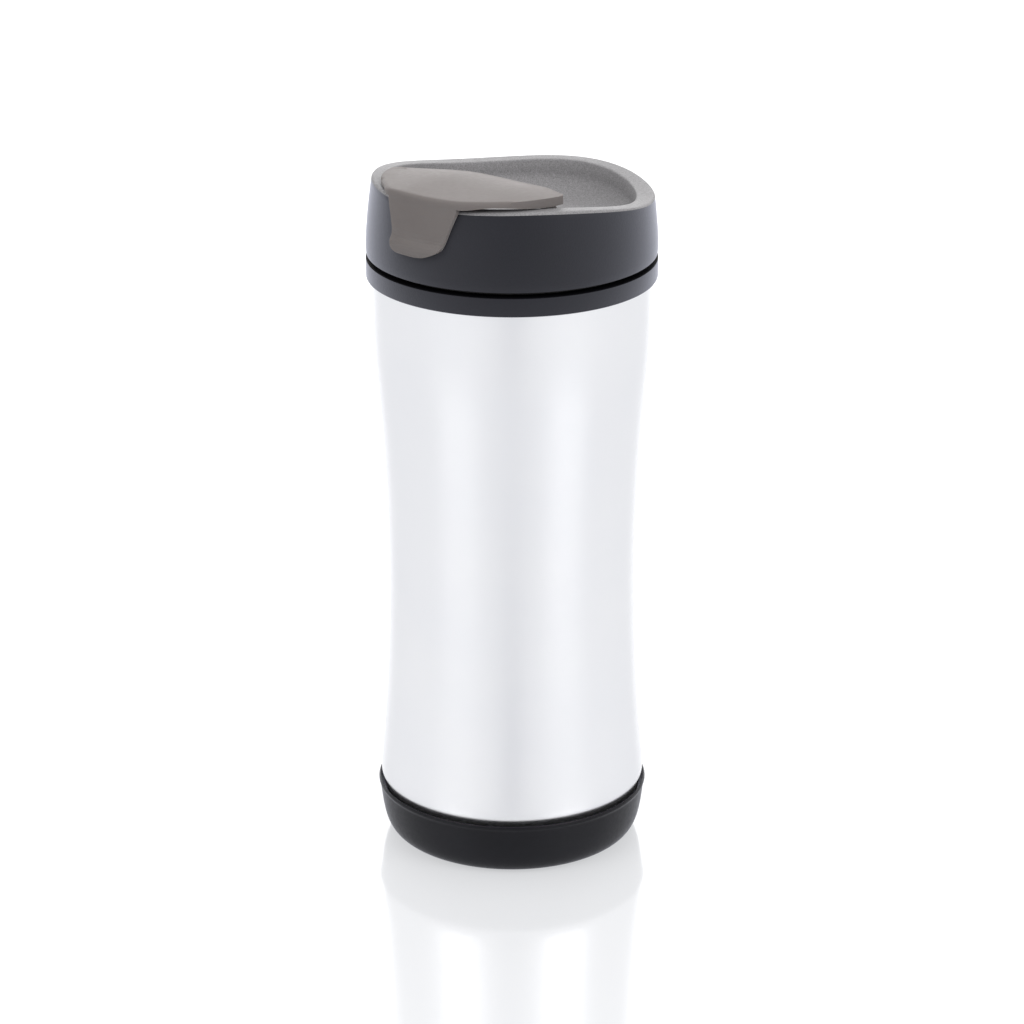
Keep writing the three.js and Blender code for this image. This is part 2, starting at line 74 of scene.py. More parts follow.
def hinge_place(name):
    joint = next(j for j in frame["joints"] if j["name"] == name)
    return Vector(joint["pos_m"]) / MM


GAP = 0.3
SHELL_LOW, SHELL_HIGH = reach("outer_shell")
COLLAR_LOW, COLLAR_HIGH = reach("collar_ring")
GASKET_LOW, GASKET_HIGH = reach("lid_gasket")
LINER_LOW, LINER_HIGH = reach("inner_liner")
BASE_LOW, BASE_HIGH = reach("base_cup")
PAD_HIGH = reach("foot_pad")[1]
PLUG_LOW, PLUG_HIGH = reach("lid_plug")
CAP_HIGH = reach("flip_cap")[1]
STOPPER_LOW, STOPPER_HIGH = reach("spout_stopper")
VENT_LOW, VENT_HIGH = reach("vent_seal")
PIN_LOW, PIN_HIGH = reach("hinge_pin_right")
HINGE = hinge_place("flip_open")

WAIST_R = 34.63                # the steel's outer radius at the waist
WAIST_Z = 78.9
WAIST_CURVE_R = 585.0          # radius of the long curve of its side
SHOULDER_Z = 138.6             # above this the side eases to upright
SHELL_R = 38.8
SHELL_Z = 17.1                 # lowest steel that shows above the base cup
STEEL_WALL = 0.6
RING_Z = 166.3                 # lower edge of the collar ring that shows

LID_Z = 173.05                 # lower edge of the lid
LID_R = 40.1
LID_TAPER_Z = 175.8            # the side leans in above this
RIM_Z = 194.5
RIM_INNER_R = 34.0
DISH_Z = 180.4
DISH_EDGE_Z = 180.9
DISH_FLOOR_R = 24.5
DISH_CURVE_R = 8.8
DECK_Z = 190.0                 # the raised deck that the drinking hole goes through

PLUG_R = 33.7
PLUG_WALL = 1.6
THREAD_LEAD = 8.0
RIDGE_ROOT_HALF, RIDGE_CREST_HALF = 0.75, 0.42
COLLAR_BORE_R = 35.4
COLLAR_SKIRT_R = 37.1

SPOUT_Y = -27.0                # centre of the oval drinking hole
SPOUT_HALF_X, SPOUT_HALF_Y = 6.5, 3.5
VENT_Y = -20.6
VENT_R = 1.2
DECK_BACK_Y = -18.3

CAP_Z = 195.1                  # underside of the cap over the tab
PIN_R = 1.0
LUG_LOW_X, LUG_HIGH_X = 24.4, 26.8
LUG_R = 2.2
LUG_TOP_Z = 195.4
TAB_HALF = 11.5                # half the thumb tab's width where it leaves the cap
CAP_ARC_S = 10.8               # the cap's front arc is centred this far to the front
CAP_BACK_S = 6.8
CAP_BACK_R = 55.0


# ---- materials --------------------------------------------------------------


class Finish:
    """A Principled material and the few texture nodes that its surface needs."""

    def __init__(self, name, colour, roughness, metallic=0.0):
        self.material = bpy.data.materials.new(name)
        self.material.use_nodes = True
        self.tree = self.material.node_tree
        self.shader = self.tree.nodes["Principled BSDF"]
        self.shader.inputs["Base Color"].default_value = (*colour, 1)
        self.shader.inputs["Roughness"].default_value = roughness
        self.shader.inputs["Metallic"].default_value = metallic
        self.place = self.tree.nodes.new("ShaderNodeTexCoord").outputs["Object"]

    def noise(self, scale, detail=2.0, stretch=(1, 1, 1)):
        mapping = self.tree.nodes.new("ShaderNodeMapping")
        mapping.inputs["Scale"].default_value = stretch
        self.tree.links.new(self.place, mapping.inputs["Vector"])
        noise = self.tree.nodes.new("ShaderNodeTexNoise")
        noise.inputs["Scale"].default_value = scale
        noise.inputs["Detail"].default_value = detail
        self.tree.links.new(mapping.outputs["Vector"], noise.inputs["Vector"])
        return noise.outputs["Fac"]

    def between(self, value, low, high):
        """value, which runs round 0.5, spread over low to high."""
        spread = self.tree.nodes.new("ShaderNodeMapRange")
        spread.inputs["From Min"].default_value = 0.3
        spread.inputs["From Max"].default_value = 0.7
        spread.inputs["To Min"].default_value = low
        spread.inputs["To Max"].default_value = high
        self.tree.links.new(value, spread.inputs["Value"])
        return spread.outputs["Result"]

    def tint(self, value, dark, light):
        mix = self.tree.nodes.new("ShaderNodeMix")
        mix.data_type = "RGBA"
        mix.inputs["A"].default_value = (*dark, 1)
        mix.inputs["B"].default_value = (*light, 1)
        self.tree.links.new(self.between(value, 0, 1), mix.inputs["Factor"])
        self.tree.links.new(mix.outputs["Result"], self.shader.inputs["Base Color"])

    def rough(self, value, low, high):
        self.tree.links.new(self.between(value, low, high), self.shader.inputs["Roughness"])

    def specular(self, level):
        self.shader.inputs["Specular IOR Level"].default_value = level

    def sheen(self, weight, roughness):
        """The cool bloom that black plastic shows at a grazing angle."""
        self.shader.inputs["Sheen Weight"].default_value = weight
        self.shader.inputs["Sheen Roughness"].default_value = roughness
        self.shader.inputs["Sheen Tint"].default_value = (0.86, 0.88, 1.0, 1)

    def bump(self, value, height, strength=1.0):
        """value as a relief of this height in millimetres, over any relief laid before."""
        relief = self.tree.nodes.new("ShaderNodeBump")
        relief.inputs["Distance"].default_value = height * MM
        relief.inputs["Strength"].default_value = strength
        self.tree.links.new(value, relief.inputs["Height"])
        earlier = self.shader.inputs["Normal"].links
        if earlier:
            self.tree.links.new(earlier[0].from_socket, relief.inputs["Normal"])
        self.tree.links.new(relief.outputs["Normal"], self.shader.inputs["Normal"])


def satin_steel():
    finish = Finish("satin_steel", (0.87, 0.873, 0.89), 0.31, 1.0)
    brushing = finish.noise(90, 4, stretch=(1, 1, 60))
    cloud = finish.noise(35, 3)
    finish.tint(cloud, (0.86, 0.864, 0.884), (0.88, 0.882, 0.896))
    finish.rough(brushing, 0.30, 0.37)
    finish.bump(brushing, 0.02, 0.5)
    return finish.material


def grained_black():
    """Black polypropylene with the fine pitted grain of a spark-eroded mould."""
    finish = Finish("grained_black", (0.004, 0.004, 0.007), 0.52)
    finish.specular(0.16)
    finish.sheen(0.85, 0.5)
    grain = finish.noise(3200, 2)
    pits = finish.noise(1300, 3)
    finish.tint(finish.noise(60, 3), (0.0035, 0.0035, 0.006), (0.0045, 0.0045, 0.008))
    finish.rough(pits, 0.46, 0.58)
    finish.bump(grain, 0.05, 0.5)
    finish.bump(pits, 0.04, 0.35)
    return finish.material


def painted_light_grey():
    """The same plastic with a real coarse grain, painted pale grey as painted light where it faces
    up: the rim, the dish and the deck.
    """
    finish = Finish("painted_light_grey", (0.215, 0.21, 0.215), 0.6)
    grain = finish.noise(2900, 2)
    finish.tint(grain, (0.16, 0.155, 0.16), (0.27, 0.265, 0.27))
    finish.rough(finish.noise(1300, 3), 0.52, 0.66)
    finish.bump(grain, 0.07, 0.6)
    finish.specular(0.35)
    return finish.material


def smooth_black():
    finish = Finish("smooth_black", (0.005, 0.005, 0.007), 0.42)
    finish.specular(0.2)
    finish.sheen(0.3, 0.3)
    finish.tint(finish.noise(80, 3), (0.004, 0.004, 0.006), (0.006, 0.006, 0.009))
    finish.rough(finish.noise(900, 3), 0.38, 0.48)
    finish.bump(finish.noise(2400, 2), 0.015, 0.4)
    return finish.material


def painted_groove_shade():
    """The smooth land that a gasket presses on, made near-black as painted shade for the bottom of
    a deep groove.
    """
    finish = Finish("painted_groove_shade", (0.002, 0.002, 0.003), 0.6)
    finish.specular(0.05)
    finish.rough(finish.noise(900, 3), 0.55, 0.65)
    finish.tint(finish.noise(80, 3), (0.0016, 0.0016, 0.0024), (0.0024, 0.0024, 0.0036))
    return finish.material


def cap_grey():
    """Warm grey plastic, a little translucent."""
    finish = Finish("cap_grey", (0.165, 0.150, 0.145), 0.4)
    finish.tint(finish.noise(70, 3), (0.158, 0.143, 0.138), (0.172, 0.157, 0.152))
    finish.specular(0.02)
    finish.rough(finish.noise(700, 3), 0.36, 0.45)
    finish.bump(finish.noise(2600, 2), 0.012, 0.4)
    finish.shader.inputs["Subsurface Weight"].default_value = 0.25
    finish.shader.inputs["Subsurface Radius"].default_value = (1.2 * MM, 1.0 * MM, 0.9 * MM)
    finish.shader.inputs["Subsurface Scale"].default_value = 1.0
    return finish.material


def liner_grey():
    finish = Finish("liner_grey", (0.05, 0.051, 0.056), 0.4)
    finish.tint(finish.noise(50, 3), (0.045, 0.046, 0.051), (0.056, 0.057, 0.062))
    finish.rough(finish.noise(500, 3), 0.34, 0.46)
    finish.bump(finish.noise(1800, 2), 0.015, 0.3)
    return finish.material


def silicone(name, colour):
    finish = Finish(name, colour, 0.62)
    finish.tint(finish.noise(120, 3), colour, tuple(1.25 * c for c in colour))
    finish.rough(finish.noise(1500, 3), 0.56, 0.70)
    finish.bump(finish.noise(3000, 2), 0.02, 0.4)
    return finish.material


def drawn_steel():
    finish = Finish("drawn_steel", (0.70, 0.71, 0.73), 0.28, 1.0)
    drawing = finish.noise(400, 3, stretch=(0.1, 8, 8))
    finish.tint(finish.noise(300, 2), (0.66, 0.67, 0.69), (0.73, 0.74, 0.76))
    finish.rough(drawing, 0.22, 0.34)
    finish.bump(drawing, 0.005, 0.3)
    return finish.material


STEEL = satin_steel()
GRAINED = grained_black()
# painted light: the pale grey that the lid's upward faces get
PAINTED_LIGHT_GREY = painted_light_grey()
SMOOTH = smooth_black()
# painted shade: near-black for the groove under the lid
PAINTED_GROOVE_SHADE = painted_groove_shade()
CAP_GREY = cap_grey()
LINER_GREY = liner_grey()
SILICONE = silicone("black_silicone", (0.014, 0.014, 0.015))
RUBBER = silicone("foot_rubber", (0.022, 0.022, 0.023))
PIN_STEEL = drawn_steel()


# ---- shape tools ------------------------------------------------------------


def arc(r, z, radius, start, end, steps=8):
    """Points on an arc, its angles in degrees from the outward direction."""
    turn = [math.radians(start + (end - start) * i / steps) for i in range(steps + 1)]
    return [(r + radius * math.cos(a), z + radius * math.sin(a)) for a in turn]


def curve(points, steps=5):
    """A smooth line through all the points."""
    ends = [points[0], *points, points[-1]]
    line = [points[0]]
    for a, b, c, d in zip(ends, ends[1:], ends[2:], ends[3:]):
        a, b, c, d = (Vector(p) for p in (a, b, c, d))
        for i in range(1, steps + 1):
            t = i / steps
            line.append(tuple(((2 * b) + (c - a) * t + (2 * a - 5 * b + 4 * c - d) * t ** 2
                               + (3 * b - a - 3 * c + d) * t ** 3) / 2))
    return line


def softened(outline, closed=True, steps=4):
    """An outline of (r, z) or (r, z, fillet) corners with each fillet rounded."""
    points = []
    count = len(outline)
    for i, corner in enumerate(outline):
        here = Vector(corner[:2])
        fillet = corner[2] if len(corner) > 2 else 0
        ends = not closed and i in (0, count - 1)
        if not fillet or ends:
            points.append(tuple(here))
            continue
        before = Vector(outline[i - 1][:2]) - here
        after = Vector(outline[(i + 1) % count][:2]) - here
        reach_back = min(fillet, before.length / 2.01)
        reach_on = min(fillet, after.length / 2.01)
        first = here + before.normalized() * reach_back
        last = here + after.normalized() * reach_on
        for k in range(steps + 1):
            t = k / steps
            points.append(tuple(first * (1 - t) ** 2 + here * 2 * t * (1 - t) + last * t ** 2))
    return points


def spun(profile, sides=SIDES):
    """A closed solid of revolution about the Z axis from (radius, height) points."""
    shape = bmesh.new()
    on_axis = profile[0][0] == 0 and profile[-1][0] == 0
    ring = [shape.verts.new((r * MM, 0, z * MM)) for r, z in profile]
    pairs = list(zip(ring, ring[1:]))
    if not on_axis:
        pairs.append((ring[-1], ring[0]))
    edges = [shape.edges.new(pair) for pair in pairs]
    bmesh.ops.spin(shape, geom=ring + edges, cent=(0, 0, 0), axis=(0, 0, 1),
                   angle=FULL_TURN, steps=sides, use_merge=True)
    bmesh.ops.remove_doubles(shape, verts=shape.verts, dist=1e-7)
    return shape


def bar(radius, low, high, sides=40, edge=0.15):
    """An upright round bar with softened ends."""
    return spun(softened([(0, low), (radius, low, edge), (radius, high, edge), (0, high)],
                         closed=False), sides)


def stretched(shape, x, y, to_y):
    """The shape scaled along X and Y and moved along Y, in millimetres."""
    bmesh.ops.scale(shape, vec=(x, y, 1), verts=shape.verts)
    bmesh.ops.translate(shape, vec=(0, to_y * MM, 0), verts=shape.verts)
    return shape


def on_hinge(shape, from_x):
    """An upright bar turned to lie along the hinge axis, its left end at from_x."""
    bmesh.ops.rotate(shape, verts=shape.verts, cent=(0, 0, 0),
                     matrix=Matrix.Rotation(math.radians(90), 3, "Y"))
    low = min(v.co.x for v in shape.verts)
    place = Vector((from_x * MM - low, HINGE.y * MM, HINGE.z * MM))
    bmesh.ops.translate(shape, vec=place, verts=shape.verts)
    return shape


def thread(shape, root, crest, start_z, turns):
    """Adds two ridges that climb round the axis by the thread's lead each turn."""
    steps = round(turns * 96)
    section = [(root, -RIDGE_ROOT_HALF), (crest, -RIDGE_CREST_HALF),
               (crest, RIDGE_CREST_HALF), (root, RIDGE_ROOT_HALF)]
    for start in (0, math.pi):
        place = Matrix.Rotation(start, 3, "Z")
        corners = [place @ Vector((r * MM, 0, (start_z + z) * MM)) for r, z in section]
        face = shape.faces.new([shape.verts.new(c) for c in corners])
        bmesh.ops.spin(shape, geom=[face], cent=(0, 0, 0), axis=(0, 0, 1),
                       dvec=(0, 0, THREAD_LEAD * MM * turns / steps),
                       angle=FULL_TURN * turns, steps=steps)


def as_object(name, shape, material):
    bmesh.ops.recalc_face_normals(shape, faces=shape.faces)
    mesh = bpy.data.meshes.new(name)
    shape.to_mesh(mesh)
    shape.free()
    mesh.materials.append(material)
    thing = bpy.data.objects.new(name, mesh)
    bpy.context.scene.collection.objects.link(thing)
    return thing


def combine(target, operation, shapes):
    """Joins shapes to target, or cuts them from it, and leaves one closed mesh."""
    for shape in shapes:
        tool = as_object("tool", shape, target.data.materials[0])
        step = target.modifiers.new("combine", "BOOLEAN")
        step.operation = operation
        step.solver = "EXACT"
        step.object = tool
        bpy.context.view_layer.objects.active = target
        bpy.ops.object.modifier_apply(modifier=step.name)
        bpy.data.objects.remove(tool)


def placed(thing, body, node, sharp=38):
    """The piece rides on its body, stands for its CAD node and gets smooth faces."""
    mesh = thing.data
    mesh.shade_smooth()
    mesh.set_sharp_from_angle(angle=math.radians(sharp))
    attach(thing, body)
    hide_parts(node)
    return thing


# ---- shared curves ----------------------------------------------------------


def shell_radius(z):
    if z <= SHOULDER_Z:
        return WAIST_R + (z - WAIST_Z) ** 2 / (2 * WAIST_CURVE_R)
    height = RING_Z - SHOULDER_Z
    t = min(1, (z - SHOULDER_Z) / height)
    low_r = WAIST_R + (SHOULDER_Z - WAIST_Z) ** 2 / (2 * WAIST_CURVE_R)
    low_slope = height * (SHOULDER_Z - WAIST_Z) / WAIST_CURVE_R
    top_slope = 0.3
    return (low_r * (2 * t ** 3 - 3 * t ** 2 + 1) + low_slope * (t ** 3 - 2 * t ** 2 + t)
            + SHELL_R * (3 * t ** 2 - 2 * t ** 3) + top_slope * (t ** 3 - t ** 2))


def lid_radius(z):
    return LID_R - 0.024 * max(0, z - LID_TAPER_Z) ** 1.48


def rim_height(angle):
    """The rim's height at an angle from the drinking side."""
    return (191.8 + 2.9 * math.cos(angle) + 0.3 * math.cos(2 * angle)
            - 1.15 * math.cos(3 * angle) + 0.1 * math.cos(4 * angle))


def between(low, high, steps):
    return [low + (high - low) * i / steps for i in range(steps + 1)]


def smooth_step(value, low, high):
    t = min(1, max(0, (value - low) / (high - low)))
    return t * t * (3 - 2 * t)


# ---- mug body ---------------------------------------------------------------


def steel_shell():
    """The shell turns in at its foot and stands in the base cup."""
    side = [(shell_radius(z), z) for z in between(22.5, SHELL_HIGH.z, 42)]
    foot = curve([(36.2, SHELL_Z - 1.5), (36.5, SHELL_Z - 0.8), (37.1, SHELL_Z + 0.2),
                  (37.5, SHELL_Z + 1.8), side[0]])
    outside = [(36.2, SHELL_LOW.z), *foot, *side[1:]]
    inside = [(r - STEEL_WALL, z) for r, z in reversed(outside)]
    shell = as_object("steel_shell", spun(outside + inside), STEEL)
    placed(shell, "mug", "outer_shell")


def collar():
    outer = COLLAR_HIGH.x
    top = COLLAR_HIGH.z
    bore, skirt = COLLAR_BORE_R, COLLAR_SKIRT_R
    slot_in, slot_out = SHELL_R - STEEL_WALL - GAP, SHELL_R + GAP
    shape = spun(softened([
        (outer, RING_Z, 0.3), (outer, top, 0.35), (bore, top, 0.6),
        (bore, COLLAR_LOW.z, 0.3), (skirt, COLLAR_LOW.z, 0.3), (skirt, RING_Z - 4),
        (slot_in, RING_Z - 1), (slot_in, SHELL_HIGH.z + GAP),
        (slot_out, SHELL_HIGH.z + GAP), (slot_out, RING_Z),
    ]))
    thread(shape, bore + 0.4, 34.5, 158.4, 1)
    ring = as_object("collar_ring_black", shape, GRAINED)
    # painted shade: the collar's upward faces are made near-black for the shadow in the groove
    # under the lid
    ring.data.materials.append(PAINTED_GROOVE_SHADE)
    for face in ring.data.polygons:
        if face.normal.z > 0.5:
            face.material_index = 1
    placed(ring, "mug", "collar_ring")


def liner():
    wall = 1.4
    corner = 8.0
    low, top = LINER_LOW.z, LINER_HIGH.z
    flange = LINER_HIGH.x
    outside = [(0, low), *arc(22.4, low + corner, corner, -90, 0),
               (32.4, WAIST_Z), (34.3, top - 2.2), (flange, top - 2.2), (flange, top)]
    inside = [(33.2, top), (32.9, top - 0.4), (31.0, WAIST_Z),
              *arc(22.4, low + corner, corner - wall, 0, -90), (0, low + wall)]
    cup = as_object("liner_cup", spun(outside + inside), LINER_GREY)
    placed(cup, "mug", "inner_liner")


def base():
    top = BASE_HIGH.z
    low = BASE_LOW.z
    outer = BASE_HIGH.x
    inner = outer - 1.85
    profile = [
        (0, low + 1.1), (PAD_HIGH.x + GAP, low + 1.1), (PAD_HIGH.x + GAP, low),
        *curve([(31.3, low), (32.9, 0.65), (34.4, 1.55), (35.6, 3.1), (36.5, 5.4),
                (37.2, 8.7), (37.7, 12.4), (37.95, 14.5)]),
        *softened([(38.1, 14.9), (outer, top - 0.9, 0.3), (38.15, top - 0.15, 0.2),
                   (37.75, top - 0.15, 0.15), (inner, top - 2.4)], closed=False),
        (inner, 9.2), (34.4, 9.2), (34.4, 12), (33.2, 12), (33.2, 6.5),
        (31.2, low + 2.4), (0, low + 2.4),
    ]
    cup = as_object("base_cup_black", spun(profile), SMOOTH)
    placed(cup, "mug", "base_cup")


def foot():
    """The rubber pad, with shallow rings turned into its underside."""
    radius = PAD_HIGH.x
    rings = []
    for r in (8.0, 13.0, 18.0, 23.0):
        rings += [(r, 0), (r + 0.3, 0.25), (r + 1.2, 0.25), (r + 1.5, 0)]
    edge = softened([(24.6, 0), (radius, 0, 0.3), (radius, PAD_HIGH.z, 0.1), (0, PAD_HIGH.z)],
                    closed=False)
    profile = [(0, 0), *rings, *edge]
    pad = as_object("foot_pad_rubber", spun(profile), RUBBER)
    placed(pad, "mug", "foot_pad")


# ---- lid --------------------------------------------------------------------


def gasket():
    low, high = GASKET_LOW.z, GASKET_HIGH.z
    inner, outer = 35.5, GASKET_HIGH.x
    ring = as_object("lid_gasket_ring", spun(softened([
        (inner, low, 0.2), (outer, low, 0.35), (outer, high, 0.35), (inner, high, 0.2),
    ])), SILICONE)
    placed(ring, "gasket", "lid_gasket")


def bend_to_rim(shape):
    """Moves everything above the dish floor so that the rim rises and dips."""
    for vert in shape.verts:
        z = vert.co.z / MM
        if z <= DISH_EDGE_Z:
            continue
        angle = math.atan2(vert.co.x, -vert.co.y)
        share = (rim_height(angle) - DISH_EDGE_Z) / (RIM_Z - DISH_EDGE_Z)
        bent = DISH_EDGE_Z + (z - DISH_EDGE_Z) * share
        flat = Vector((vert.co.x, vert.co.y)) / MM
        if flat.length > RIM_INNER_R + 1:
            flat *= 1 + (lid_radius(bent) - lid_radius(z)) / flat.length
        vert.co = Vector((flat.x, flat.y, bent)) * MM


def lid_form():
    edge = 0.7
    side = [(lid_radius(z), z) for z in between(LID_Z + 0.9, RIM_Z - edge, 16)]
    top_r = lid_radius(RIM_Z)
    skirt = PLUG_R - PLUG_WALL - GAP
    plug_bore = PLUG_R + 0.45
    profile = [
        (LID_R - 0.12, LID_Z), *side,
        (top_r - 0.22, RIM_Z - 0.22), (top_r - edge, RIM_Z),
        *softened([(top_r - edge - 0.3, RIM_Z), (RIM_INNER_R, RIM_Z, 0.7),
                   (DISH_FLOOR_R + DISH_CURVE_R, DISH_EDGE_Z + DISH_CURVE_R)], closed=False),
        *arc(DISH_FLOOR_R, DISH_EDGE_Z + DISH_CURVE_R, DISH_CURVE_R, -4, -90, 20),
        (16, 180.6), (8, DISH_Z + 0.05), (0, DISH_Z),
        (0, DISH_Z - 2), (DISH_FLOOR_R, DISH_EDGE_Z - 2),
        (skirt - 1.6, DISH_EDGE_Z - 1.4), (skirt - 1.6, 169), (skirt, 169),
        (skirt, 180.6), (34.9, 188.6), (36.4, 188.6), (37.6, 178.4), (plug_bore, 177.2),
        (plug_bore, LID_Z + GAP), (35.2, LID_Z + GAP), (35.2, 174.5), (38.4, 174.5),
        (38.4, LID_Z),
    ]
    shape = spun(profile)
    bend_to_rim(shape)
    return shape


def spout_deck():
    """The raised deck under the cap, a rounded block that runs into the rim."""
    shape = bmesh.new()
    bmesh.ops.create_cube(shape, size=MM)
    bmesh.ops.scale(shape, vec=(40, 15.0, DECK_Z - 179.5), verts=shape.verts)
    middle = Vector((0, DECK_BACK_Y - 15.0 / 2, (DECK_Z + 179.5) / 2)) * MM
    bmesh.ops.translate(shape, vec=middle, verts=shape.verts)
    upright = [e for e in shape.edges if abs((e.verts[0].co - e.verts[1].co).z) > MM]
    back = [e for e in upright if e.verts[0].co.y > middle.y]
    bmesh.ops.bevel(shape, geom=back, offset=4 * MM, segments=6, profile=0.5,
                    affect="EDGES", material=-1)
    top = [e for e in shape.edges if min(v.co.z for v in e.verts) > (DECK_Z - 0.1) * MM]
    bmesh.ops.bevel(shape, geom=top, offset=0.9 * MM, segments=4, profile=0.5,
                    affect="EDGES", material=-1)
    return shape


def flared_hole(radius, low, high, flare):
    """A round cutter whose mouth opens out at the deck."""
    profile = [(0, low), (radius, low), *arc(radius + flare, high - flare, flare, 180, 90, 5),
               (radius + flare + 1, high + 1), (0, high + 1)]
    return spun(profile, 64)


def paint_light_on_top(lid_body):
    """Paints light: faces that face up, and faces inside the rim's outer edge, get the pale grey
    that stands for the light on them.
    """
    lid_body.data.materials.append(PAINTED_LIGHT_GREY)
    for face in lid_body.data.polygons:
        middle = face.center / MM
        radius = Vector((middle.x, middle.y)).length
        inside = radius < RIM_INNER_R + 0.3 and middle.z > DISH_Z - 0.1
        if face.normal.z > 0.45 and middle.z > DISH_Z - 0.1 or inside and face.normal.z > -0.1:
            face.material_index = 1


def lid():
    black = as_object("lid_body", lid_form(), GRAINED)
    tube = stretched(bar(7.8, 158.2, DISH_Z - 0.6, 64), 1, 4.8 / 7.8, STOPPER_LOW.y + 4.5)
    combine(black, "UNION", [spout_deck(), tube])
    spout = stretched(flared_hole(SPOUT_HALF_X, 150, DECK_Z, 0.5),
                      1, SPOUT_HALF_Y / SPOUT_HALF_X, SPOUT_Y)
    vent = stretched(flared_hole(VENT_R, 170, DECK_Z, 0.2), 1, 1, VENT_Y)
    pin_holes = [on_hinge(bar(PIN_R + GAP, 0, 6.5, 32), x) for x in (27.0, -33.5)]
    combine(black, "DIFFERENCE", [spout, vent, *pin_holes])
    # painted light: the lid's top faces are made pale grey
    paint_light_on_top(black)
    placed(black, "lid", "lid_shell", sharp=32)


def plug():
    low, top = PLUG_LOW.z, PLUG_HIGH.z
    inner = PLUG_R - PLUG_WALL
    shape = spun(softened([
        (0, low), (PLUG_R, low, 1.6), (PLUG_R, top, 0.3), (inner, top, 0.3),
        (inner, low + PLUG_WALL, 1.2), (0, low + PLUG_WALL),
    ], closed=False))
    thread(shape, PLUG_R - 0.4, 34.85, 160.4, 0.75)
    cup = as_object("lid_plug_cup", shape, SMOOTH)
    slot = stretched(bar(5.5, low - 2, low + 4, 48), 1, 2.5 / 5.5, SPOUT_Y)
    vent = stretched(bar(VENT_R, low - 2, low + 4, 32), 1, 1, 20.0)
    combine(cup, "DIFFERENCE", [slot, vent])
    placed(cup, "lid", "lid_plug", sharp=32)


# ---- flip cap ---------------------------------------------------------------


def cap_arc_r(x):
    """The front arc is a little tighter on the left."""
    return 28.7 if x < 0 else 29.7


def cap_tip_x(x):
    return 28.0 if x < 0 else 29.2


def cap_front(x):
    """The front edge: over the tab it keeps to the lid's round, then it turns in."""
    over_tab = math.sqrt(40.15 ** 2 - x ** 2)
    arc_s = CAP_ARC_S + math.sqrt(cap_arc_r(x) ** 2 - x ** 2)
    share = smooth_step(abs(x), TAB_HALF, TAB_HALF + 6)
    return over_tab * (1 - share) + arc_s * share


def cap_back(x):
    """The back edge: a long shallow arc that turns in at the tips, sooner on the left."""
    turn_in, tip_s = (25.2, 18.5) if x < 0 else (26.6, 16.0)
    along = min(abs(x), turn_in)
    inward = CAP_BACK_S + CAP_BACK_R - math.sqrt(CAP_BACK_R ** 2 - along ** 2)
    inward += 1.3 * smooth_step(-x, 5, 26)
    if abs(x) <= turn_in:
        return inward
    t = min(1, (abs(x) - turn_in) / (cap_tip_x(x) + 0.25 - turn_in))
    return inward + (tip_s - inward) * (1 - math.sqrt(1 - t * t))


def cap_top_z(x, s):
    """The top falls in a long curve to the back edge, and a little to the left tip."""
    behind = max(0, 26 - s) / 19.2
    fall_behind = 1.95 - 1.2 * smooth_step(x, 8, 27)
    return CAP_HIGH.z - 0.002 - fall_behind * behind ** 2 - 1.6 * smooth_step(-x, 5, 29)


def cap_under_z(x, s):
    under = CAP_Z + 0.8 * smooth_step(abs(x), 13, 20) - 1.2 * smooth_step(abs(x), 20, 29)
    return min(under, cap_top_z(x, s) - 1.1)


def cap_columns():
    """The cap's cross lines: even over the tab, closer together towards the tips."""
    over_tab = between(-TAB_HALF, TAB_HALF, 20)
    shares = [math.sin(math.pi / 2 * i / 16) for i in range(1, 17)]
    left, right = ([side * (TAB_HALF + (cap_tip_x(side) - TAB_HALF) * share)
                    for share in shares] for side in (-1, 1))
    return left[::-1] + over_tab + right


def cap_plate():
    """A grid bent to the cap's outline and given its thickness."""
    columns = cap_columns()
    rows = 12
    front_share = 0.9
    shares = [front_share * i / (rows - 1) for i in range(rows)] + [1.0]
    shape = bmesh.new()
    bmesh.ops.create_grid(shape, x_segments=len(columns) - 1, y_segments=rows, size=1)
    for vert in shape.verts:
        x = columns[round((vert.co.x + 1) / 2 * (len(columns) - 1))]
        share = shares[round((vert.co.y + 1) / 2 * rows)]
        back, front = cap_back(x), cap_front(x)
        if share == 1:
            s = front
        else:
            s = back + (front - 2.0 * smooth_step(front - back, 2, 8) - back) * share / front_share
        vert.co = Vector((x, -s, cap_top_z(x, s))) * MM
    bmesh.ops.recalc_face_normals(shape, faces=shape.faces)
    if shape.faces[:][0].normal.z < 0:
        bmesh.ops.reverse_faces(shape, faces=shape.faces)
    top = shape.faces[:]
    under = bmesh.ops.extrude_face_region(shape, geom=top, use_keep_orig=True)["geom"]
    for vert in (v for v in under if isinstance(v, bmesh.types.BMVert)):
        vert.co.z = cap_under_z(vert.co.x / MM, -vert.co.y / MM) * MM
    bmesh.ops.recalc_face_normals(shape, faces=shape.faces)
    return shape


TAB_STATIONS = (
    # height, outer radius, left edge, right edge
    (194.4, 40.2, -11.5, 11.6), (192.0, 40.35, -10.9, 10.7), (189.5, 40.45, -10.3, 9.8),
    (187.0, 40.5, -9.8, 9.0), (185.8, 40.6, -9.7, 8.6), (185.0, 40.8, -9.7, 8.3),
    (184.3, 41.2, -9.7, 8.0), (183.6, 41.6, -9.7, 7.6), (183.0, 41.8, -9.6, 7.0),
    (182.4, 41.88, -9.4, 6.1), (181.9, 41.85, -9.2, 5.0), (181.4, 41.8, -8.9, 3.8),
    (181.0, 41.7, -8.4, 2.6), (180.7, 41.55, -7.7, 1.2), (180.5, 41.4, -6.9, -0.5),
)


